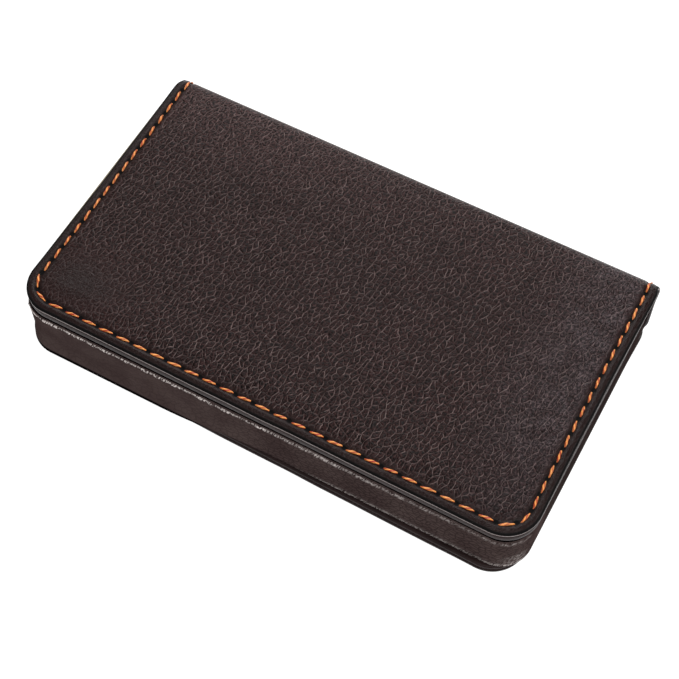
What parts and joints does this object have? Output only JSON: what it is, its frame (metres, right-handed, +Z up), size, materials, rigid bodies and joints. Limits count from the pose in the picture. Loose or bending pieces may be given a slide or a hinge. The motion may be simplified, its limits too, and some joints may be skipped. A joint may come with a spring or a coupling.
{
  "type": "business card case",
  "caption": "Book-style leather card case: padded stitched lid, soft two-crease spine, leather-wrapped tray and magnetic closure.",
  "frame": {"origin": "centre of the underside of the closed case", "axes": "+X along the creases, +Y from the opening to the spine, +Z up through the lid"},
  "size_m": [0.105, 0.0606, 0.0174],
  "materials": {
    "cover_leather": "dark brown pebbled leather, soft satin",
    "lining_leather": "smooth dark brown leather, satin",
    "tray_leather": "fine-grained dark brown leather, satin",
    "thread": "twisted orange sewing thread",
    "velvet": "short-pile dark brown velvet",
    "board": "plain grey-brown board",
    "padding_foam": "thin felted padding",
    "frame_plastic": "moulded black plastic",
    "keeper_steel": "plain rolled steel",
    "magnet": "nickel-plated magnet"
  },
  "bodies": {
    "base": {"base_cover": "cover_leather", "base_board": "board", "base_lining": "lining_leather", "base_inner_board": "board", "base_stitching": "thread", "tray_frame": "frame_plastic", "tray_wrap": "tray_leather", "tray_side_lining": "velvet", "tray_floor_lining": "velvet", "tray_keeper": "keeper_steel"},
    "spine": {"spine_cover": "cover_leather", "spine_board": "board", "spine_lining": "lining_leather", "spine_stitching": "thread"},
    "lid": {"lid_cover": "cover_leather", "lid_padding": "padding_foam", "lid_board": "board", "lid_inner_board": "board", "lid_magnets": "magnet", "lid_lining": "lining_leather", "lid_pocket": "lining_leather", "lid_stitching": "thread", "pocket_stitching": "thread"}
  },
  "joints": [
    {"name": "spine_hinge", "type": "hinge", "parent": "base", "child": "spine", "pos_m": [0, 0.0301, 0.0003], "axis": [-1, 0, 0], "range_deg": [0, 90]},
    {"name": "lid_hinge", "type": "hinge", "parent": "spine", "child": "lid", "pos_m": [0, 0.0301, 0.0167], "axis": [-1, 0, 0], "range_deg": [0, 90]}
  ]
}
